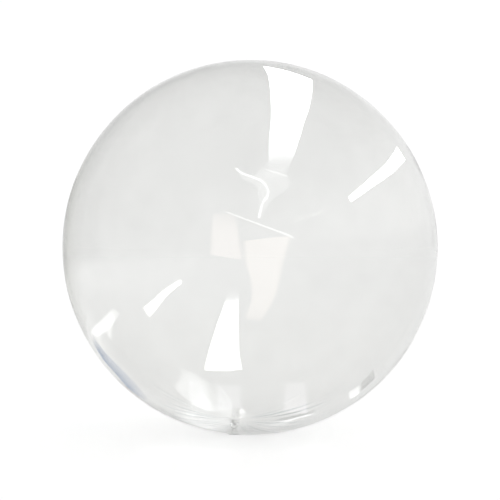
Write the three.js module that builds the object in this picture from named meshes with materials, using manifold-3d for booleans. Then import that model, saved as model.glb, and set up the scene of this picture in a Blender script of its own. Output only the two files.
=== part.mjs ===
// A clear bubble balloon: one seamless blown film, drawn together in pleats at the neck and tied
// off there in a small knot, with a short ruffled tail beyond it. It rests on the floor with the
// neck below and in front, and the tail points down, clear of the floor.
//
// Millimetres, +Z up. The neck leans towards -Y. The origin is the centre of the small flat patch
// on which the film rests. The balloon is sealed, so its solid is filled.
import * as THREE from "three";
import { mergeVertices } from "three/addons/utils/BufferGeometryUtils.js";
import Module from "manifold-3d";

// Driving dimensions.
const RADIUS = 225; // the inflated film, 450 mm across
const PATCH_RADIUS = 24; // the flat patch on the floor
const CENTRE_HEIGHT = Math.sqrt(RADIUS ** 2 - PATCH_RADIUS ** 2);
const NECK_TILT = THREE.MathUtils.degToRad(32); // from straight down towards -Y

const PLEATS = 24; // gathers round the neck
const PLEAT_DEPTH = 2.6; // the deepest gather, next to the neck
const PLEAT_REACH = [14, 28]; // degrees from the neck at which the shortest and longest end
const VALLEY_WIDTH = 0.2; // half the width of a crease, as a share of one pleat
const NARROW_SHARE = 0.25; // a crease takes at most this share of the distance to the axis
const POINTS_PER_PLEAT = 4;
const SEGMENTS = PLEATS * POINTS_PER_PLEAT;
const GOLDEN = 0.618034; // spreads lengths and depths evenly, with no repeat

const FUNNEL_START = 7; // degrees from the neck's axis where the film leaves the ball
const THROAT_RADIUS = 3; // the gathered film where it enters the knot
const THROAT_LIFT = 2.5; // the throat stands this far outside the ball

const KNOT_START = 2; // beyond the ball
const KNOT_LENGTH = 7.5;
const WRAPS = 2; // turns of film that cross in the knot
const WRAP_RADIUS = 3.1; // to the middle of a turn
const WRAP_THICKNESS = 2.1; // radius of a turn's own section
const WRAP_TILT = 0.42; // how far a turn leans along the neck, in radians

const TAIL_START = KNOT_START + KNOT_LENGTH - 1;
const TAIL_LENGTH = 10;
const TAIL_WIDTH = 13; // across the mouth
const TAIL_THICKNESS = 1.8; // two walls with the folds between them
const TAIL_WAVE = 1.2; // height of its ruffles
const TAIL_RUFFLES = 2.5; // waves across the mouth
const TAIL_NARROW = 0.25; // share of its width that the tail has at the knot

const FILM = { color: 0xe9ebe9, roughness: 0.05, metalness: 0, transparent: true, opacity: 0.3 };

const share = (x) => x - Math.floor(x);
const clamp01 = (x) => Math.min(1, Math.max(0, x));
const ease = (x) => x * x * (3 - 2 * x);
const mix = (a, b, t) => a + (b - a) * t;

// How far the film is drawn in on one meridian, at an angle in degrees from the neck.
function pleatDepth(meridian, degrees, distance) {
  const pleat = Math.floor(meridian / POINTS_PER_PLEAT);
  const phase = (meridian % POINTS_PER_PLEAT) / POINTS_PER_PLEAT;
  const reach = mix(...PLEAT_REACH, share(pleat * GOLDEN));
  const depth = PLEAT_DEPTH * mix(0.55, 1, share(pleat * GOLDEN * 3 + 0.3));
  const fall = ease(clamp01(1 - degrees / reach));
  const valley = Math.exp(-(((phase - 0.5) / VALLEY_WIDTH) ** 2));
  return Math.min(depth * fall, NARROW_SHARE * distance) * valley;
}

// The pleats aren't evenly spaced: this turns each meridian a little, in radians.
function uneven(meridian) {
  const round = (2 * Math.PI * meridian) / SEGMENTS;
  return 0.07 * Math.sin(3 * round + 0.7) + 0.04 * Math.sin(5 * round + 2.1);
}

// Half the outline of the film, from the middle of the throat round to the crown.
// Here, and in all that follows up to balloon(), the neck points along -Y.
function filmProfile() {
  const onBall = (degrees) => {
    const a = THREE.MathUtils.degToRad(degrees);
    return new THREE.Vector2(RADIUS * Math.sin(a), -RADIUS * Math.cos(a));
  };
  const end = onBall(FUNNEL_START);
  const backwards = new THREE.Vector2(end.y, -end.x).normalize();
  const funnel = new THREE.CubicBezierCurve(
    new THREE.Vector2(THROAT_RADIUS, -RADIUS - THROAT_LIFT),
    new THREE.Vector2(THROAT_RADIUS * 1.4, -RADIUS + 0.5),
    end.clone().addScaledVector(backwards, end.x * 0.4),
    end,
  );
  const points = [new THREE.Vector2(0, -RADIUS - THROAT_LIFT), ...funnel.getPoints(5)];
  const fineStep = 3;
  const fineEnd = PLEAT_REACH[1] + 3;
  for (let d = FUNNEL_START + fineStep; d < fineEnd; d += fineStep) points.push(onBall(d));
  const coarseSteps = 20;
  for (let i = 0; i < coarseSteps; i++) points.push(onBall(mix(fineEnd, 180, i / coarseSteps)));
  points.push(new THREE.Vector2(0, RADIUS));
  return points;
}

// The ball with its pleats, about its own centre.
function filmGeometry() {
  const profile = filmProfile();
  const geometry = new THREE.LatheGeometry(profile, SEGMENTS);
  const at = geometry.getAttribute("position");
  const out = geometry.getAttribute("normal");
  const p = new THREE.Vector3();
  const n = new THREE.Vector3();
  const axis = new THREE.Vector3(0, 1, 0);
  for (let i = 0; i < at.count; i++) {
    const meridian = Math.floor(i / profile.length) % SEGMENTS;
    p.fromBufferAttribute(at, i);
    n.fromBufferAttribute(out, i);
    const distance = Math.hypot(p.x, p.z);
    if (distance < 1e-6) continue;
    const degrees = THREE.MathUtils.radToDeg(Math.atan2(distance, -p.y));
    p.addScaledVector(n, -pleatDepth(meridian, degrees, distance));
    p.applyAxisAngle(axis, uneven(meridian));
    at.setXYZ(i, p.x, p.y, p.z);
  }
  return geometry;
}

// The gathered film that runs up the middle of the knot.
function strandGeometry() {
  const length = TAIL_START + 3;
  const strand = new THREE.CylinderGeometry(THROAT_RADIUS - 0.2, THROAT_RADIUS - 0.2, length, 16);
  return strand.translate(0, -RADIUS - length / 2 + 1, 0);
}

// One turn of the knot. The turns lean in opposite ways, so that they cross.
function wrapGeometry(index) {
  const side = index % 2 ? -1 : 1;
  const wrap = new THREE.TorusGeometry(WRAP_RADIUS, WRAP_THICKNESS, 10, 28);
  const middle = KNOT_START + KNOT_LENGTH * mix(0.36, 0.64, index / (WRAPS - 1));
  return wrap
    .rotateX(Math.PI / 2)
    .rotateZ(side * WRAP_TILT)
    .rotateX(side * WRAP_TILT * 0.5)
    .translate(side * 0.3, -RADIUS - middle, 0);
}

// The tail: a ruffled band, narrow where it leaves the knot and wide at its cut end.
function tailGeometry() {
  const stops = 20;
  const edge = (i, side) => {
    const x = i / stops - 0.5;
    const wave = TAIL_WAVE * Math.sin(2 * Math.PI * TAIL_RUFFLES * x);
    const half = (TAIL_THICKNESS / 2) * Math.sqrt(1 - (1.9 * x) ** 2);
    return new THREE.Vector2(x * TAIL_WIDTH, wave + side * half);
  };
  const outline = [];
  for (let i = 0; i <= stops; i++) outline.push(edge(i, -1));
  for (let i = stops; i >= 0; i--) outline.push(edge(i, 1));
  const band = new THREE.ExtrudeGeometry(new THREE.Shape(outline), {
    depth: TAIL_LENGTH,
    steps: 6,
    bevelEnabled: false,
  });
  const at = band.getAttribute("position");
  for (let i = 0; i < at.count; i++) {
    const along = at.getZ(i) / TAIL_LENGTH;
    const open = mix(TAIL_NARROW, 1, Math.sin((along * Math.PI) / 2));
    at.setXYZ(i, at.getX(i) * open, -RADIUS - TAIL_START - at.getZ(i), at.getY(i));
  }
  return band;
}

const wasm = await Module();
wasm.setup();

function toSolid(geometry) {
  const bare = geometry.clone();
  bare.deleteAttribute("normal");
  bare.deleteAttribute("uv");
  const merged = mergeVertices(bare, 1e-4);
  const vertProperties = merged.getAttribute("position").array;
  const triVerts = new Uint32Array(merged.index.array);
  return new wasm.Manifold(new wasm.Mesh({ numProp: 3, vertProperties, triVerts }));
}

function toGeometry(solid) {
  const mesh = solid.getMesh();
  const geometry = new THREE.BufferGeometry();
  geometry.setAttribute("position", new THREE.BufferAttribute(mesh.vertProperties, 3));
  geometry.setIndex(new THREE.BufferAttribute(mesh.triVerts, 1));
  geometry.computeVertexNormals();
  return geometry;
}

// Everything below the floor, about the ball's centre.
function floorGeometry() {
  const depth = 2 * RADIUS;
  const block = new THREE.BoxGeometry(4 * RADIUS, 4 * RADIUS, depth);
  return block.translate(0, 0, -CENTRE_HEIGHT - depth / 2);
}

// Turns what was made with the neck along -Y so that the neck leans NECK_TILT from straight down.
const leaned = (geometry) => geometry.rotateX(Math.PI / 2 - NECK_TILT);

function balloon() {
  let solid = toSolid(leaned(filmGeometry()));
  const neckParts = [strandGeometry(), tailGeometry()];
  for (let i = 0; i < WRAPS; i++) neckParts.push(wrapGeometry(i));
  for (const part of neckParts) solid = solid.add(toSolid(leaned(part)));
  solid = solid.subtract(toSolid(floorGeometry()));
  const mesh = new THREE.Mesh(toGeometry(solid), new THREE.MeshStandardMaterial(FILM));
  mesh.name = "balloon";
  mesh.position.z = CENTRE_HEIGHT;
  return mesh;
}

const part = new THREE.Group();
part.add(balloon());
export default part;
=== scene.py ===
import math

import bpy
from mathutils import Matrix, Vector


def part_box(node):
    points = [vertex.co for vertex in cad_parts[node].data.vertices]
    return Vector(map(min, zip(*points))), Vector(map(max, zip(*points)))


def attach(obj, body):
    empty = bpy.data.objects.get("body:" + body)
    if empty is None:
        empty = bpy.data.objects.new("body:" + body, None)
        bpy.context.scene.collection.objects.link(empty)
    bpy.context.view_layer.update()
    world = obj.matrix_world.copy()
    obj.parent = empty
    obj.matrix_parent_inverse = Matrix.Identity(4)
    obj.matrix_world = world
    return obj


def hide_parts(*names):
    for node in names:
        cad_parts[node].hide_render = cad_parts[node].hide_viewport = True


# A clear bubble balloon on a pale studio floor. Metres, +Z up, in the CAD model's own frame.
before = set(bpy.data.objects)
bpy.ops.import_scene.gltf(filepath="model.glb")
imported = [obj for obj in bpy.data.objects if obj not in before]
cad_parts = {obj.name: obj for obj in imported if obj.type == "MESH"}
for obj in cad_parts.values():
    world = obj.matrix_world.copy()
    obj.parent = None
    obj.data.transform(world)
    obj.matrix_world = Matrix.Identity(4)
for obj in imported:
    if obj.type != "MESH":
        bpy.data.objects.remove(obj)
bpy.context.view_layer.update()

# ---------------------------------------------------------------- sizes, as the solid has them
box_low, box_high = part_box("balloon")
SOLID_RADIUS = (box_high[0] - box_low[0]) / 2
FILM_INSET = 0.0003  # the film lies this far inside the solid
RADIUS = SOLID_RADIUS - FILM_INSET
CENTRE = Vector(((box_high[0] + box_low[0]) / 2, 0, box_high[2] - SOLID_RADIUS))
FLOOR_GAP = 0.0003  # the lowest film stays this far over the floor
FILM_THICKNESS = 0.00015  # between the film's two skins
NECK_THICKNESS = 0.00004  # the same where the film is drawn together
NECK_TILT = math.radians(32)  # from straight down towards -Y

# Creases round the neck. Each family has its offset in pleats, its depth, and its shortest and
# longest reach in degrees from the neck.
PLEATS = 24
CREASES = ((-0.5, 0.0060, (20, 31)), (0.0, 0.0038, (15, 28)))
PLEAT_END = 31
SHALLOWEST = 0.5  # of the creases, as a share of the deepest
CREASE_FADE = 1.3  # the higher, the sooner a crease grows shallow
NARROW_SHARE = 0.13  # a crease takes at most this share of the distance to the axis
SMOOTH_TO = 60  # degrees either way from the front, where the neck has no long creases
SMOOTH_FADE = 12  # degrees over which they set in
ALL_ROUND_TO = 3  # degrees from the neck, up to where creases run all the way round
ALL_ROUND_FADE = 4  # degrees over which that ends
GOLDEN = 0.618034  # spreads lengths, depths and lines evenly, with no repeat
DEPTH_STRIDE, DEPTH_START = 3, 0.3  # so that a crease's depth isn't tied to its length
LUCK_STRIDE, LUCK_START = 5, 0.37  # the same for the strength of its line
FOLD_LINE = 0.09  # half the width of a crease's whitened line, partly a painted highlight, in pleats
FOLD_SHADE = 0.17  # how far beside the line the crease's painted shade lies, standing in for the shadow of the fold
FOLD_FADE = 7  # degrees over which the line ends
FAINTEST = 0.25  # of the lines, as a share of the strongest
UNEVEN = ((0.07, 3, 0.7), (0.04, 5, 2.1))  # size, waves round the neck and phase, in radians

# The funnel into the throat, the knot of two crossing turns, and the tail.
FUNNEL_START = 7  # degrees from the neck
FUNNEL_EASE = 0.4  # how far the funnel follows on from the ball, as a share of its own radius
FUNNEL_FLARE = 1.4  # of the funnel's foot, in throats
FUNNEL_FOOT = 0.0005
THROAT_RADIUS = 0.003
THROAT_LIFT = 0.0025
THROAT_GATHER = 0.12  # depth of the gathers in the tube, as a share of its radius
KNOT_GATHER = 0.02
KNOT_SQUEEZE = 0.88
KNOT_START = 0.002
KNOT_LENGTH = 0.0075
WRAPS = 2
WRAP_PLACES = (0.36, 0.64)  # of the first and last turn along the knot
WRAP_SHIFT = 0.0003
WRAP_RADIUS = 0.0031
WRAP_THICKNESS = 0.0021
WRAP_TILT = 0.42
STRANDS = 7  # folds of film in a turn
STRAND_GROOVE = 0.09
STRAND_TWIST = 2
TAIL_OVERLAP = 0.001  # the tail starts this far inside the knot
TAIL_START = KNOT_START + KNOT_LENGTH - TAIL_OVERLAP
TAIL_LENGTH = 0.010
TAIL_WIDTH = 0.013
TAIL_NARROW = 0.25  # share of its width that the tail has at the knot
TAIL_FLATTENS = 3  # the tube is flat after one part in this many of the tail
TAIL_GAP = 0.0007  # between the tail's middle line and each of its two walls
TAIL_MOUTH = 0.00006  # the same at its end
TAIL_WAVE = 0.0012
TAIL_RUFFLES = 2.5

# The paler and thinner film round the neck.
CLOUD_REACH = 0.03
NECK_CLOUD = 0.3
THIN_REACH = 0.04  # the distance over which the film grows to its full thickness
THIN_START = 0.2  # how far from the neck that begins, as a share of the distance

# Steps of the mesh.
PLEAT_STEPS = 18
SEGMENTS = PLEATS * PLEAT_STEPS
BALL_RINGS = 48
PLEAT_RINGS = 28
FINE_END = PLEAT_END + 3  # degrees from the neck, up to where the rings lie close together
FUNNEL_RINGS = 9
TUBE_RINGS = 20
TUBE_TOP = BALL_RINGS + PLEAT_RINGS + FUNNEL_RINGS - 1  # ring where the tube goes into the knot
TUBE_FOOT = TUBE_TOP + 7  # ring where it leaves; in between, the knot's turns take its place
WRAP_AROUND = 96
WRAP_ACROSS = 40


def clamp01(x):
    return min(1.0, max(0.0, x))


def ease(x):
    return x * x * (3 - 2 * x)


def mix(a, b, t):
    return a + (b - a) * t


def share(x):
    return x - math.floor(x)


# ---------------------------------------------------------------- camera
CAMERA_AZIMUTH = math.radians(8)
CAMERA_DISTANCE = 6.36 * RADIUS
CAMERA_LENS = 85  # mm
CAMERA_SHIFT = -0.005
TO_CAMERA = Vector((math.sin(CAMERA_AZIMUTH), -math.cos(CAMERA_AZIMUTH), 0))
CAMERA_RIGHT = Vector((math.cos(CAMERA_AZIMUTH), math.sin(CAMERA_AZIMUTH), 0))


def add_camera():
    data = bpy.data.cameras.new("camera")
    data.lens = CAMERA_LENS
    data.shift_y = CAMERA_SHIFT
    camera = bpy.data.objects.new("camera", data)
    bpy.context.collection.objects.link(camera)
    camera.location = CENTRE + TO_CAMERA * CAMERA_DISTANCE
    camera.rotation_euler = (-TO_CAMERA).to_track_quat("-Z", "Y").to_euler()
    bpy.context.scene.camera = camera


# ---------------------------------------------------------------- helpers for meshes and nodes
def new_object(name, points, faces, smooth=True):
    mesh = bpy.data.meshes.new(name)
    mesh.from_pydata(points, [], faces)
    mesh.update()
    if smooth:
        mesh.shade_smooth()
    thing = bpy.data.objects.new(name, mesh)
    bpy.context.collection.objects.link(thing)
    return thing


def set_point_values(thing, name, values):
    layer = thing.data.attributes.new(name, "FLOAT", "POINT")
    layer.data.foreach_set("value", values)


def new_tree(owner):
    owner.use_nodes = True
    owner.node_tree.nodes.clear()
    return owner.node_tree.nodes, owner.node_tree.links


def new_material(name):
    material = bpy.data.materials.new(name)
    return material, *new_tree(material)


def feed(links, socket, value):
    """Links an output to a socket, or sets the socket to a plain value."""
    if isinstance(value, bpy.types.NodeSocket):
        links.new(value, socket)
    else:
        socket.default_value = value


def math_node(nodes, links, operation, *values):
    node = nodes.new("ShaderNodeMath")
    node.operation = operation
    for socket, value in zip(node.inputs, values):
        feed(links, socket, value)
    return node.outputs[0]


def map_range(nodes, links, value, ends, levels, kind="SMOOTHSTEP"):
    node = nodes.new("ShaderNodeMapRange")
    node.interpolation_type = kind
    for name, what in zip(
        ("Value", "From Min", "From Max", "To Min", "To Max"), (value, *ends, *levels)
    ):
        feed(links, node.inputs[name], what)
    return node.outputs["Result"]


def noise_node(nodes, links, place, scale, detail):
    node = nodes.new("ShaderNodeTexNoise")
    node.inputs["Scale"].default_value = scale
    node.inputs["Detail"].default_value = detail
    links.new(place, node.inputs["Vector"])
    return node.outputs["Fac"]


def point_value(nodes, name):
    node = nodes.new("ShaderNodeAttribute")
    node.attribute_name = name
    return node.outputs["Fac"]


def colour_mix(nodes, links, factor, first, second):
    node = nodes.new("ShaderNodeMix")
    node.data_type = "RGBA"
    for name, value in (("Factor", factor), ("A", first), ("B", second)):
        feed(links, node.inputs[name], value)
    return node.outputs["Result"]


def shader_mix(nodes, links, factor, first, second):
    node = nodes.new("ShaderNodeMixShader")
    for socket, value in zip(node.inputs, (factor, first, second)):
        links.new(value, socket)
    return node.outputs["Shader"]


def bump_node(nodes, links, height, strength, distance):
    node = nodes.new("ShaderNodeBump")
    node.inputs["Strength"].default_value = strength
    node.inputs["Distance"].default_value = distance
    links.new(height, node.inputs["Height"])
    return node.outputs["Normal"]


def show(nodes, links, shader):
    out = nodes.new("ShaderNodeOutputMaterial")
    links.new(shader, out.inputs["Surface"])


# ---------------------------------------------------------------- room and floor
WHITE_LEVEL = 1.06  # of the sweep behind the balloon
WHITE_EDGE = (0.75, 0.96)  # where the sweep begins and is whole, as the direction's +Y share
SIDE_LEVEL = 0.82  # of the room to either side of the sweep
SIDE_SLANT = 0.3  # the room is this much dimmer on the left, and brighter on the right
HORIZON_LEVEL = 0.88  # of the room, low down
HORIZON_TOP = 0.28
LEFT_DROP = 0.1  # the left half behind the balloon is darker still by this
LEFT_EDGE = (0.1, -0.4)
BEHIND_EDGE = (-0.02, 0.06)
MOTTLE = 0.35  # how uneven the room is
MOTTLE_SCALE = 3.5
MOTTLE_DETAIL = 4
ZENITH_LEVEL = 0.5
ZENITH_EDGE = (0.3, 0.85)

FLOOR_COLOUR = (0.78, 0.78, 0.77, 1)
FLOOR_ROUGHNESS = 0.9
FLOOR_SPECULAR = 0.1
FLOOR_GLOW = 0.58
FLOOR_RADIUS = 30.0
FLOOR_FADE = 1.4  # further out than this, the floor begins to match the room
FLOOR_SIDES = 96


def room_level(nodes, links, direction):
    """How bright the room is in a direction.

    There is a white sweep behind the balloon, an uneven dimmer room round it, and a dimmer ceiling.
    """
    split = nodes.new("ShaderNodeSeparateXYZ")
    links.new(direction, split.inputs[0])
    x, y, z = split.outputs

    def step(value, ends, levels):
        return map_range(nodes, links, value, ends, levels)

    slant = math_node(nodes, links, "MULTIPLY", x, SIDE_SLANT)
    patches = noise_node(nodes, links, direction, MOTTLE_SCALE, MOTTLE_DETAIL)
    mottle = math_node(nodes, links, "MULTIPLY", patches, MOTTLE)
    side = math_node(nodes, links, "ADD", mottle, SIDE_LEVEL - MOTTLE / 2)
    side = step(z, (0.0, HORIZON_TOP), (HORIZON_LEVEL, side))
    side = math_node(nodes, links, "ADD", side, slant)
    left = step(x, LEFT_EDGE, (0.0, -LEFT_DROP))
    side = math_node(nodes, links, "ADD", side, step(y, BEHIND_EDGE, (0.0, left)))
    level = step(y, WHITE_EDGE, (side, WHITE_LEVEL))
    return step(z, ZENITH_EDGE, (level, ZENITH_LEVEL))


def make_world():
    world = bpy.data.worlds.new("studio")
    bpy.context.scene.world = world
    nodes, links = new_tree(world)
    coords = nodes.new("ShaderNodeTexCoord")
    shade = nodes.new("ShaderNodeBackground")
    shade.inputs["Color"].default_value = (1, 1, 1, 1)
    links.new(room_level(nodes, links, coords.outputs["Generated"]), shade.inputs["Strength"])
    out = nodes.new("ShaderNodeOutputWorld")
    links.new(shade.outputs["Background"], out.inputs["Surface"])


def make_floor():
    """A pale disc that grows as bright as the room far from the balloon."""
    rim = [
        (FLOOR_RADIUS * math.cos(a), FLOOR_RADIUS * math.sin(a), 0)
        for a in (math.tau * i / FLOOR_SIDES for i in range(FLOOR_SIDES))
    ]
    floor = new_object("floor", rim, [tuple(range(FLOOR_SIDES))], smooth=False)
    material, nodes, links = new_material("floor")
    place = nodes.new("ShaderNodeTexCoord").outputs["Object"]
    paint = nodes.new("ShaderNodeBsdfPrincipled")
    paint.inputs["Base Color"].default_value = FLOOR_COLOUR
    paint.inputs["Roughness"].default_value = FLOOR_ROUGHNESS
    paint.inputs["Specular IOR Level"].default_value = FLOOR_SPECULAR
    paint.inputs["Emission Color"].default_value = (1, 1, 1, 1)
    paint.inputs["Emission Strength"].default_value = FLOOR_GLOW
    outward = nodes.new("ShaderNodeVectorMath")
    outward.operation = "NORMALIZE"
    links.new(place, outward.inputs[0])
    distant = nodes.new("ShaderNodeEmission")
    level = room_level(nodes, links, outward.outputs["Vector"])
    links.new(level, distant.inputs["Strength"])
    length = nodes.new("ShaderNodeVectorMath")
    length.operation = "LENGTH"
    links.new(place, length.inputs[0])
    nearness = math_node(nodes, links, "DIVIDE", 1, length.outputs["Value"])
    ends = 1 / FLOOR_FADE, 1 / FLOOR_RADIUS
    fade = map_range(nodes, links, nearness, ends, (0.0, 1.0), "SMOOTHERSTEP")
    shader = shader_mix(nodes, links, fade, paint.outputs["BSDF"], distant.outputs["Emission"])
    show(nodes, links, shader)
    floor.data.materials.append(material)


# ---------------------------------------------------------------- light panels
FLOOR = "floor"  # a reach that ends just over the floor
CARD_HEIGHT = -0.985  # of the cards there, in ball radii from the ball's middle
STEEPEST = -0.02  # a mirrored ray has to fall at least this much to reach them
ACROSS = 8  # steps across a card
ALONG = 24


def studio_point(right, up, front):
    """A place in the studio, in ball radii from its centre, as the camera sees it."""
    return CENTRE + RADIUS * (CAMERA_RIGHT * right + Vector((0, 0, up)) + TO_CAMERA * front)


def mirror_point(across, up, reach):
    """The studio point that the ball mirrors to the camera at a place on its near face.

    The place is in ball radii from the middle of the ball's image. Reach is the distance from the
    film in ball radii, or FLOOR for the point just over the floor.
    """
    distance = CAMERA_DISTANCE / RADIUS
    spread = 1 / math.sqrt(distance**2 - 1)
    ray = Vector((across * spread, up * spread, -1)).normalized()
    start = Vector((0, 0, distance))
    half = start.dot(ray)
    place = start + ray * (-half - math.sqrt(max(0, half**2 - distance**2 + 1)))
    mirrored = ray.reflect(place)
    if reach == FLOOR:
        reach = (CARD_HEIGHT - place.y) / min(mirrored.y, STEEPEST)
    return place + mirrored * reach


def along_line(points, t):
    """A smooth curve through the points, from the first at 0 to the last at 1."""
    place = t * (len(points) - 1)
    i = min(int(place), len(points) - 2)
    u = place - i
    nearby = (min(max(k, 0), len(points) - 1) for k in (i - 1, i, i + 1, i + 2))
    a, b, c, d = (Vector(points[k]) for k in nearby)
    straight = (c - a) * u
    bend = (2 * a - 5 * b + 4 * c - d) * u**2
    twist = (3 * b - 3 * c + d - a) * u**3
    return 0.5 * (2 * b + straight + bend + twist)


def profile(levels, t):
    place = t * (len(levels) - 1)
    i = min(int(place), len(levels) - 2)
    return mix(levels[i], levels[i + 1], place - i)


def make_card(
    name, one_side, other_side, strength, tint=(1, 1, 1), glow=(1, 1), soft=0.0, seen_through=False
):
    """A light panel, or a dark one, that only the film's shine shows.

    The sides are studio points. Glow is how solid the card is at even steps along it, and soft
    the share of its width over which it fades at the sides. A card that is seen_through also shows
    in the shine of the film's far side, through the near side.
    """
    points, levels = [], []
    for i in range(ALONG + 1):
        t = i / ALONG
        ends = along_line(one_side, t), along_line(other_side, t)
        for k in range(ACROSS + 1):
            u = k / ACROSS
            points.append(studio_point(*ends[0].lerp(ends[1], u)))
            edge = ease(clamp01(2 * min(u, 1 - u) / soft)) if soft else 1.0
            levels.append(profile(glow, t) * edge)
    row = ACROSS + 1
    corners = (i * row + k for i in range(ALONG) for k in range(ACROSS))
    faces = [(a, a + 1, a + row + 1, a + row) for a in corners]
    card = new_object(name, points, faces, smooth=False)
    set_point_values(card, "glow", levels)
    material, nodes, links = new_material(name)
    shade = nodes.new("ShaderNodeEmission")
    shade.inputs["Color"].default_value = (*tint, 1)
    shade.inputs["Strength"].default_value = strength
    clear = nodes.new("ShaderNodeBsdfTransparent").outputs["BSDF"]
    solid = point_value(nodes, "glow")
    show(nodes, links, shader_mix(nodes, links, solid, clear, shade.outputs["Emission"]))
    card.data.materials.append(material)
    card.visible_camera = False
    card.visible_diffuse = False
    card.visible_shadow = False
    card.visible_transmission = seen_through


def mirrored_card(name, one_side, other_side, reach, strength, lift=0.0, **looks):
    """A card given by where its image is on the ball's near face, in ball radii."""
    sides = [
        [mirror_point(*place, reach) + Vector((0, lift, 0)) for place in side]
        for side in (one_side, other_side)
    ]
    make_card(name, *sides, strength, **looks)


def make_lights():
    # The long light overhead, which fades at its front end, and the strip on the right.
    make_card(
        "softbox_overhead",
        [(0.125, 1.689, -0.609), (0.34, 1.346, 2.136)],
        [(0.766, 2.077, -0.893), (0.69, 1.349, 2.141)],
        strength=9, glow=(0.8, *[1] * 11, 0.35, 0.07, 0.06, 0.05, 0), tint=(0.97, 0.98, 1.0),
        seen_through=True,
    )
    make_card(
        "strip_right",
        [(1.60, 1.09, -0.572), (3.05, 1.58, 2.09)],
        [(1.70, 0.96, -0.572), (3.15, 1.42, 2.09)],
        strength=10, seen_through=True,
    )
    # Two pale shapes low on the left.
    mirrored_card(
        "glint_left",
        [(-0.851, -0.449), (-0.793, -0.380), (-0.729, -0.322)],
        [(-0.803, -0.476), (-0.739, -0.428), (-0.691, -0.354)],
        reach=FLOOR, strength=2.6, soft=0.15, glow=(0.7, 1, 1, 1, 1, 0.8),
    )
    mirrored_card(
        "sail_left",
        [
            (-0.372, -0.641), (-0.383, -0.694), (-0.410, -0.742), (-0.372, -0.785),
            (-0.309, -0.832), (-0.234, -0.870),
        ],
        [
            (-0.271, -0.678), (-0.218, -0.715), (-0.207, -0.758), (-0.207, -0.801),
            (-0.197, -0.832), (-0.181, -0.870),
        ],
        reach=FLOOR, strength=2.8, soft=0.04, glow=(0.7, 1, 1, 0.85, 0.8, 0.7),
    )
    # A curved line with a pale sheet beside it, above the middle.
    mirrored_card(
        "curve_line",
        [
            (-0.074, 0.428), (-0.043, 0.402), (0.021, 0.380), (0.069, 0.359), (0.101, 0.316),
            (0.101, 0.274), (0.074, 0.237), (0.059, 0.189), (0.053, 0.157),
        ],
        [
            (-0.080, 0.418), (-0.048, 0.386), (0.016, 0.364), (0.059, 0.343), (0.085, 0.311),
            (0.085, 0.279), (0.059, 0.242), (0.043, 0.194), (0.037, 0.162),
        ],
        reach=3.0, strength=7.5, soft=0.5,
    )
    mirrored_card(
        "curve_line_right",
        [(0.085, 0.423), (0.144, 0.407), (0.202, 0.386)],
        [(0.080, 0.412), (0.138, 0.394), (0.197, 0.372)],
        reach=3.0, strength=5.0, soft=0.5, glow=(0.6, 1, 0.6),
    )
    mirrored_card(
        "curve_sheet",
        [
            (-0.064, 0.418), (0.011, 0.386), (0.085, 0.412), (0.202, 0.380), (0.223, 0.343),
            (0.191, 0.301), (0.138, 0.269), (0.096, 0.226), (0.053, 0.162),
        ],
        [
            (-0.074, 0.412), (-0.043, 0.359), (0.000, 0.338), (0.027, 0.306), (0.043, 0.279),
            (0.037, 0.253), (0.037, 0.226), (0.037, 0.194), (0.043, 0.162),
        ],
        reach=3.4, strength=2.2, soft=0.15,
    )
    # Two warm reflectors near the middle, with a bright upper edge.
    mirrored_card(
        "reflector_small",
        [(-0.202, 0.178), (-0.213, 0.072), (-0.223, -0.035)],
        [(-0.074, 0.178), (-0.053, 0.056), (-0.027, -0.066)],
        reach=1.5, strength=3.4, tint=(1, 0.86, 0.8), soft=0.2, glow=(0.4, 0.9, 1, 1),
    )
    mirrored_card(
        "reflector_large",
        [(-0.053, 0.035), (-0.037, -0.077), (-0.005, -0.173), (0.000, -0.279), (-0.037, -0.375)],
        [(0.234, 0.061), (0.191, -0.077), (0.160, -0.215), (0.117, -0.311), (0.064, -0.386)],
        reach=0.55, strength=3.8, tint=(1, 0.88, 0.8), soft=0.1, glow=(1, 1, 1, 0.9, 0.6),
    )
    mirrored_card(
        "reflector_edge",
        [(-0.128, 0.194), (0.053, 0.130), (0.234, 0.061)],
        [(-0.128, 0.184), (0.053, 0.117), (0.234, 0.045)],
        reach=0.5, strength=5.0, soft=0.6,
    )
    # Flags that darken the left side. The lowest is blue.
    mirrored_card(
        "flag_low_left",
        [
            (-0.840, -0.460), (-0.793, -0.529), (-0.750, -0.577), (-0.707, -0.620),
            (-0.660, -0.668), (-0.606, -0.721), (-0.532, -0.806),
        ],
        [
            (-0.835, -0.513), (-0.809, -0.556), (-0.777, -0.604), (-0.739, -0.646),
            (-0.697, -0.694), (-0.644, -0.753), (-0.543, -0.822),
        ],
        reach=FLOOR, strength=0.6, tint=(0.16, 0.34, 0.72), soft=0.3,
        glow=(0, 1, 1, 1, 1, 0.8, 0),
    )
    mirrored_card(
        "flag_floor_left",
        [(-0.915, -0.199), (-0.851, -0.386), (-0.734, -0.609), (-0.532, -0.801)],
        [(-0.532, -0.173), (-0.489, -0.332), (-0.436, -0.519), (-0.346, -0.662)],
        reach=FLOOR, strength=0.4, lift=-0.004, soft=1, glow=(0, 0.8, 1, 0.6, 0),
    )
    mirrored_card(
        "flag_left",
        [(-0.883, 0.572), (-0.979, 0.306), (-0.995, 0.040), (-0.979, -0.226), (-0.883, -0.519)],
        [(-0.734, 0.572), (-0.851, 0.306), (-0.872, 0.040), (-0.851, -0.226), (-0.755, -0.519)],
        reach=2.5, strength=0.6, tint=(1, 1, 0.93), soft=0.9, glow=(0, 0.8, 1, 0.8, 0),
    )
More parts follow.
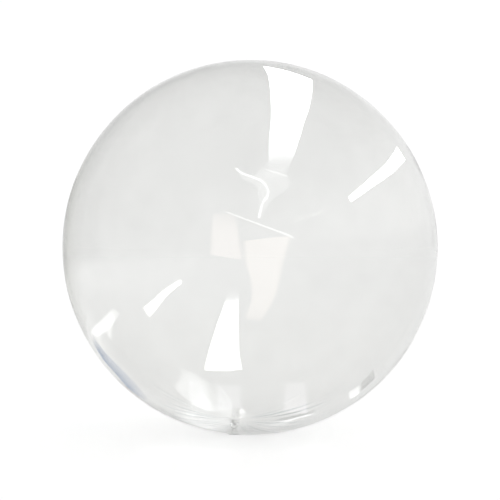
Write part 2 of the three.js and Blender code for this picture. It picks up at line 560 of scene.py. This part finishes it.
    # Pale pads on the floor in front.
    mirrored_card(
        "pad_middle",
        [(-0.186, -0.731), (-0.186, -0.864)],
        [(-0.037, -0.731), (-0.037, -0.864)],
        reach=FLOOR, strength=2.0, tint=(0.98, 0.97, 1), soft=0.1,
    )
    mirrored_card(
        "pad_right",
        [(0.176, -0.715), (0.165, -0.875)],
        [(0.303, -0.715), (0.314, -0.875)],
        reach=FLOOR, strength=2.1, tint=(1, 0.97, 1), soft=0.1,
    )
    # A small light low on the right, with a flag beside it.
    mirrored_card(
        "glint_low_right",
        [(0.521, -0.774), (0.527, -0.811)],
        [(0.585, -0.731), (0.585, -0.774)],
        reach=FLOOR, strength=2.2, soft=0.1,
    )
    mirrored_card(
        "flag_low_right",
        [(0.585, -0.726), (0.590, -0.763)],
        [(0.660, -0.646), (0.665, -0.694)],
        reach=FLOOR, strength=0.3, soft=0.2,
    )
    # Lights and a flag for the folds round the neck.
    mirrored_card(
        "pleat_light_left",
        [(-0.447, -0.774), (-0.346, -0.816), (-0.213, -0.875), (-0.106, -0.902)],
        [(-0.415, -0.886), (-0.319, -0.939), (-0.223, -0.971), (-0.117, -0.971)],
        reach=FLOOR, strength=1.5, soft=0.5, glow=(0, 0.8, 1, 0.3),
    )
    mirrored_card(
        "pleat_light_right",
        [(0.096, -0.939), (0.266, -0.896), (0.351, -0.875)],
        [(0.106, -0.955), (0.266, -0.912), (0.351, -0.891)],
        reach=FLOOR, strength=2.8, soft=0.8, glow=(0, 1, 1, 0),
    )
    mirrored_card(
        "pleat_flag_right",
        [(0.117, -0.914), (0.218, -0.888), (0.340, -0.854)],
        [(0.128, -0.936), (0.229, -0.909), (0.351, -0.875)],
        reach=FLOOR, strength=0.1, tint=(0.7, 0.9, 1), soft=0.6, glow=(0, 1, 1, 0.3),
    )
    mirrored_card(
        "glint_neck",
        [(-0.074, -0.848), (-0.053, -0.886)],
        [(-0.043, -0.848), (-0.021, -0.880)],
        reach=FLOOR, strength=5.0, soft=0.5,
    )


# ---------------------------------------------------------------- the film's materials
FILM_IOR = 1.5
FILM_COLOUR = (0.865, 0.867, 0.86, 1)
VEIL_COLOUR = (0.91, 0.912, 0.905, 1)
VEIL_SCALE = 30
VEIL_DETAIL = 4
RIM_COLOUR = (0.60, 0.61, 0.60, 1)
RIM_BLEND = 0.5
RIM_FALL = 7  # the higher, the narrower the rim
# the colour of the painted shade beside the creases
CREASE_SHADE_COLOUR = (0.56, 0.61, 0.61, 1)
PALE_COLOUR = (0.985, 0.985, 0.98, 1)
# whitish: the haze round the neck, the crease lines (partly a painted highlight) and the knot's
# crumples take it
CLOUD_COLOUR = (0.97, 0.975, 0.97, 1)
SMEAR_SCALE = 22
SMEAR_DETAIL = 3
SMEAR_ROUGHNESS = 0.01
CLOUD_ROUGHNESS = 0.22
WAVE_SCALE = 14
WAVE_DETAIL = 1
WAVE_STRENGTH = 0.35
WAVE_HEIGHT = 0.0012

ROLLED_IOR = 1.3
ROLLED_SCALE = 420
ROLLED_DETAIL = 2
ROLLED_ROUGHNESS = 0.3
ROLLED_STRENGTH = 0.4
ROLLED_HEIGHT = 0.0004


def see_through_shader(nodes, ior):
    shade = nodes.new("ShaderNodeBsdfPrincipled")
    shade.inputs["Transmission Weight"].default_value = 1.0
    shade.inputs["IOR"].default_value = ior
    return shade


def make_film_material():
    """Clear film, paler where its layers are drawn together at the neck, with creases whitened
    partly as a painted highlight, and painted shade beside them.
    """
    material, nodes, links = new_material("clear_film")
    shade = see_through_shader(nodes, FILM_IOR)
    show(nodes, links, shade.outputs["BSDF"])
    place = nodes.new("ShaderNodeTexCoord").outputs["Object"]
    haze_and_crease_highlight = point_value(nodes, "haze_and_crease_highlight")

    # Colour: faintly uneven, greyer where the eye looks along the film, with painted shade beside
    # the creases, whiter round the neck, and whiter in the creases, partly from creasing and partly
    # as a painted highlight.
    edge = nodes.new("ShaderNodeLayerWeight")
    edge.inputs["Blend"].default_value = RIM_BLEND
    slant = math_node(nodes, links, "POWER", edge.outputs["Facing"], RIM_FALL)
    veils = noise_node(nodes, links, place, VEIL_SCALE, VEIL_DETAIL)
    colour = FILM_COLOUR
    for factor, other in (
        (veils, VEIL_COLOUR),
        (slant, RIM_COLOUR),
        # painted shade beside the creases
        (point_value(nodes, "painted_crease_shade"), CREASE_SHADE_COLOUR),
        (point_value(nodes, "pale"), PALE_COLOUR),
        # paler haze round the neck, and crease lines that are partly a painted highlight
        (haze_and_crease_highlight, CLOUD_COLOUR),
    ):
        colour = colour_mix(nodes, links, factor, colour, other)
    links.new(colour, shade.inputs["Base Color"])

    # Roughness: nearly none, a little more in faint smears, and more in the creases.
    smears = noise_node(nodes, links, place, SMEAR_SCALE, SMEAR_DETAIL)
    smeared = math_node(nodes, links, "MULTIPLY", smears, SMEAR_ROUGHNESS)
    creased = math_node(nodes, links, "MULTIPLY", haze_and_crease_highlight, CLOUD_ROUGHNESS)
    rough = math_node(nodes, links, "ADD", smeared, creased)
    links.new(rough, shade.inputs["Roughness"])

    # Bump: the film is never quite even.
    waves = noise_node(nodes, links, place, WAVE_SCALE, WAVE_DETAIL)
    links.new(bump_node(nodes, links, waves, WAVE_STRENGTH, WAVE_HEIGHT), shade.inputs["Normal"])
    return material


def make_rolled_material():
    """The rolled film of the knot and tail: clear, with fine crumples."""
    material, nodes, links = new_material("clear_film_rolled")
    shade = see_through_shader(nodes, ROLLED_IOR)
    show(nodes, links, shade.outputs["BSDF"])
    place = nodes.new("ShaderNodeTexCoord").outputs["Object"]
    folds = noise_node(nodes, links, place, ROLLED_SCALE, ROLLED_DETAIL)
    colour = colour_mix(nodes, links, folds, PALE_COLOUR, CLOUD_COLOUR)
    links.new(colour, shade.inputs["Base Color"])
    rough = math_node(nodes, links, "MULTIPLY", folds, ROLLED_ROUGHNESS)
    links.new(rough, shade.inputs["Roughness"])
    normal = bump_node(nodes, links, folds, ROLLED_STRENGTH, ROLLED_HEIGHT)
    links.new(normal, shade.inputs["Normal"])
    return material


# ---------------------------------------------------------------- the film's shape
# It is made with the neck straight down and the ball's middle at zero, and then leaned over.
def on_ball(degrees):
    """Distance from the axis and height along it, for an angle from the neck."""
    a = math.radians(degrees)
    return RADIUS * math.sin(a), -RADIUS * math.cos(a)


def bezier(points, t):
    a, b, c, d = points
    u = 1 - t
    return tuple(
        u**3 * a[k] + 3 * u * u * t * b[k] + 3 * u * t * t * c[k] + t**3 * d[k] for k in (0, 1)
    )


def film_profile():
    """(distance from the axis, height) from the crown to the throat."""
    rings = [on_ball(mix(180, FINE_END, i / BALL_RINGS)) for i in range(1, BALL_RINGS)]
    rings += [on_ball(mix(FINE_END, FUNNEL_START, i / PLEAT_RINGS)) for i in range(PLEAT_RINGS)]
    end = on_ball(FUNNEL_START)
    onward = Vector((end[1], -end[0])).normalized() * end[0] * FUNNEL_EASE
    funnel = (
        end,
        (end[0] + onward[0], end[1] + onward[1]),
        (THROAT_RADIUS * FUNNEL_FLARE, -RADIUS + FUNNEL_FOOT),
        (THROAT_RADIUS, -RADIUS - THROAT_LIFT),
    )
    rings += [bezier(funnel, i / (FUNNEL_RINGS - 1)) for i in range(FUNNEL_RINGS)]
    return rings


def uneven(turn):
    """The creases aren't evenly spaced: this turns each meridian a little, in radians."""
    a = math.tau * turn
    return sum(size * math.sin(waves * a + phase) for size, waves, phase in UNEVEN)


def side_on(turn):
    """1 for a meridian that runs to the side or the back of the neck, and 0 for the front."""
    around = share(turn + uneven(turn) / math.tau + 0.5) - 0.5
    return ease(clamp01((abs(around) * 360 - SMOOTH_TO) / SMOOTH_FADE))


def creases_at(turn):
    """The nearest crease of each family: its number, the place, and the crease's reach and depth.

    The place counts in pleats, and each crease of the family lies at a whole number.
    """
    for offset, deepest, reach in CREASES:
        place = turn * PLEATS + offset
        crease = round(place) % PLEATS
        far = mix(*reach, share(crease * GOLDEN))
        depth = deepest * mix(SHALLOWEST, 1, share(crease * GOLDEN * DEPTH_STRIDE + DEPTH_START))
        yield crease, place, far, depth


def pleat_depth(turn, degrees, distance):
    """How far the film is drawn in, at a share of the way round and an angle from the neck.

    Pressure rounds the film out between the creases, so they are sharp and it is not.
    """
    drawn = 0.0
    for _, place, far, depth in creases_at(turn):
        fall = clamp01(1 - degrees / far) ** CREASE_FADE
        valley = 1 - abs(math.sin(math.pi * share(place)))
        drawn += min(depth * fall, NARROW_SHARE * distance) * valley
    away = ease(clamp01((degrees - ALL_ROUND_TO) / ALL_ROUND_FADE))
    return drawn * mix(1, side_on(turn), away)


def fold_marks(turn, degrees):
    """How whitened the film is here, partly by creasing and partly as a painted highlight, and how
    much painted shade lies beside a crease.
    """
    white = dark = 0.0
    for family, (crease, place, far, _) in enumerate(creases_at(turn)):
        aside = place - round(place)
        luck = share(crease * GOLDEN * LUCK_STRIDE + LUCK_START * family)
        strength = ease(clamp01((far - degrees) / FOLD_FADE)) * mix(FAINTEST, 1, luck)
        strength *= side_on(turn)
        shade = FOLD_SHADE if crease % 2 else -FOLD_SHADE
        # the whitened line: partly creasing, partly a painted highlight
        white = max(white, strength * clamp01(1 - abs(aside) / FOLD_LINE))
        # painted shade beside the crease, on one side or the other by turns
        dark = max(dark, strength * clamp01(1 - abs(aside - shade) / FOLD_LINE))
    return white, dark


def ball_rings():
    """Rings of points from the crown to the throat, and the fold marks at each point."""
    rings, marks = [], []
    for distance, height in film_profile():
        degrees = math.degrees(math.atan2(distance, -height))
        ring = []
        for i in range(SEGMENTS):
            turn = i / SEGMENTS
            r = distance - pleat_depth(turn, degrees, distance)
            marks.append(fold_marks(turn, degrees))
            a = math.tau * turn + uneven(turn)
            ring.append(Vector((r * math.sin(a), -r * math.cos(a), height)))
        rings.append(ring)
    return rings, marks


def tube_rings():
    """Rings from the throat through the knot, where the tube flattens into the tail."""
    rings = []
    for step in range(1, TUBE_RINGS + 1):
        height = -RADIUS - mix(THROAT_LIFT, TAIL_START + TAIL_LENGTH, step / TUBE_RINGS)
        tail = clamp01((-height - RADIUS - TAIL_START) / TAIL_LENGTH)
        flat = ease(clamp01(tail * TAIL_FLATTENS))
        knot = clamp01((-height - RADIUS - KNOT_START) / KNOT_LENGTH)
        squeeze = 1 - KNOT_SQUEEZE * math.sin(math.pi * knot)
        width = TAIL_WIDTH / 2 * mix(TAIL_NARROW, 1, math.sin(tail * math.pi / 2))
        ring = []
        for i in range(SEGMENTS):
            turn = i / SEGMENTS
            a = math.tau * turn + uneven(turn)
            gathers = math.cos(math.tau * PLEATS * turn)
            gather = 1 - mix(THROAT_GATHER, KNOT_GATHER, knot) * gathers
            tube = Vector((math.sin(a), -math.cos(a))) * THROAT_RADIUS * gather * squeeze
            u = math.sin(a)
            wave = TAIL_WAVE * math.sin(math.pi * TAIL_RUFFLES * u)
            band = Vector((u * width, wave - math.cos(a) * mix(TAIL_GAP, TAIL_MOUTH, tail)))
            point = tube.lerp(band, flat)
            ring.append(Vector((point.x, point.y, height)))
        rings.append(ring)
    return rings


def leaned(point):
    """From the neck's own frame, where it points down, to the model's."""
    return CENTRE + Matrix.Rotation(-NECK_TILT, 3, "X") @ point


def settle(point):
    """The film flattens where it rests, a hair over the floor."""
    return Vector((point.x, point.y, max(point.z, FLOOR_GAP)))


def add_wrap(index, points, faces):
    """One turn of the knot. The turns lean in opposite ways, so that they cross."""
    side = -1 if index % 2 else 1
    middle = KNOT_START + KNOT_LENGTH * mix(*WRAP_PLACES, index / (WRAPS - 1))
    lean = Matrix.Rotation(side * WRAP_TILT, 3, "Y") @ Matrix.Rotation(side * WRAP_TILT / 2, 3, "X")
    place = Vector((side * WRAP_SHIFT, 0, -RADIUS - middle))
    base = len(points)
    for i in range(WRAP_AROUND):
        a = math.tau * i / WRAP_AROUND
        for k in range(WRAP_ACROSS):
            b = math.tau * k / WRAP_ACROSS
            groove = STRAND_GROOVE * math.cos(STRANDS * b + STRAND_TWIST * a)
            strand = WRAP_THICKNESS * (1 + groove)
            reach = WRAP_RADIUS + strand * math.cos(b)
            point = Vector((reach * math.cos(a), reach * math.sin(a), strand * math.sin(b)))
            points.append(leaned(place + lean @ point))
    for i in range(WRAP_AROUND):
        one = base + i * WRAP_ACROSS
        two = base + (i + 1) % WRAP_AROUND * WRAP_ACROSS
        for k in range(WRAP_ACROSS):
            c = (k + 1) % WRAP_ACROSS
            faces.append((one + k, two + k, two + c, one + c))


def inner_skin(outer, faces, neck):
    """The film's inner skin. It is nearest to the outer one at the neck."""
    draft = new_object("film_draft", outer, faces)
    normals = [Vector(v.normal) for v in draft.data.vertices]
    bpy.data.objects.remove(draft)
    skin = []
    for point, normal in zip(outer, normals):
        away = clamp01((point - neck).length / THIN_REACH - THIN_START)
        skin.append(point - normal * mix(NECK_THICKNESS, FILM_THICKNESS, away))
    return skin


def make_film():
    rings, marks = ball_rings()
    tail_first = 1 + len(rings) * SEGMENTS
    rings += tube_rings()
    count = len(rings)
    crown = leaned(Vector((0, 0, RADIUS)))
    neck = leaned(Vector((0, 0, -RADIUS)))
    outer = [crown] + [settle(leaned(p)) for ring in rings for p in ring]

    def index(ring, i):
        return 1 + ring * SEGMENTS + i % SEGMENTS

    faces = [(0, index(0, i), index(0, i + 1)) for i in range(SEGMENTS)]
    for ring in [*range(TUBE_TOP), *range(TUBE_FOOT, count - 1)]:
        for i in range(SEGMENTS):
            low = index(ring + 1, i), index(ring + 1, i + 1)
            faces.append((index(ring, i), *low, index(ring, i + 1)))

    # The two skins, and the rims that close the film between them.
    base = len(outer)
    points = outer + inner_skin(outer, faces, neck)
    faces += [tuple(base + k for k in reversed(face)) for face in faces]
    for i in range(SEGMENTS):
        for edge in (TUBE_TOP, count - 1):
            a, b = index(edge, i), index(edge, i + 1)
            faces.append((a, base + a, base + b, b))
        a, b = index(TUBE_FOOT, i), index(TUBE_FOOT, i + 1)
        faces.append((a, b, base + b, base + a))

    knot_first = len(points)
    for i in range(WRAPS):
        add_wrap(i, points, faces)
    film = new_object("balloon_film", points, faces)

    def in_tail(i):
        return i >= knot_first or i % base >= tail_first

    # Marks for the material: paler film, crease lines whitened partly by creasing and partly as a
    # painted highlight, and painted shade beside the creases.
    haze_and_crease_highlight, painted_crease_shade, pale = [], [], []
    for i, point in enumerate(points):
        near = ease(clamp01(1 - (point - neck).length / CLOUD_REACH))
        own = i % base - 1
        white, dark = marks[own] if i < knot_first and 0 <= own < len(marks) else (0.0, 0.0)
        # haze round the neck, and crease lines partly painted as highlights
        haze_and_crease_highlight.append(0.0 if i >= knot_first else max(white, NECK_CLOUD * near))
        # painted shade beside the creases, with none round the neck
        painted_crease_shade.append(dark * (1 - near))
        pale.append(1.0 if in_tail(i) else near)
    set_point_values(film, "haze_and_crease_highlight", haze_and_crease_highlight)
    set_point_values(film, "painted_crease_shade", painted_crease_shade)
    set_point_values(film, "pale", pale)
    film.data.materials.append(make_film_material())
    film.data.materials.append(make_rolled_material())
    for face in film.data.polygons:
        if in_tail(face.vertices[0]):
            face.material_index = 1
    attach(film, "root")
    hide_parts("balloon")


make_world()
make_floor()
make_lights()
add_camera()
make_film()
bpy.context.scene.view_settings.view_transform = "Standard"
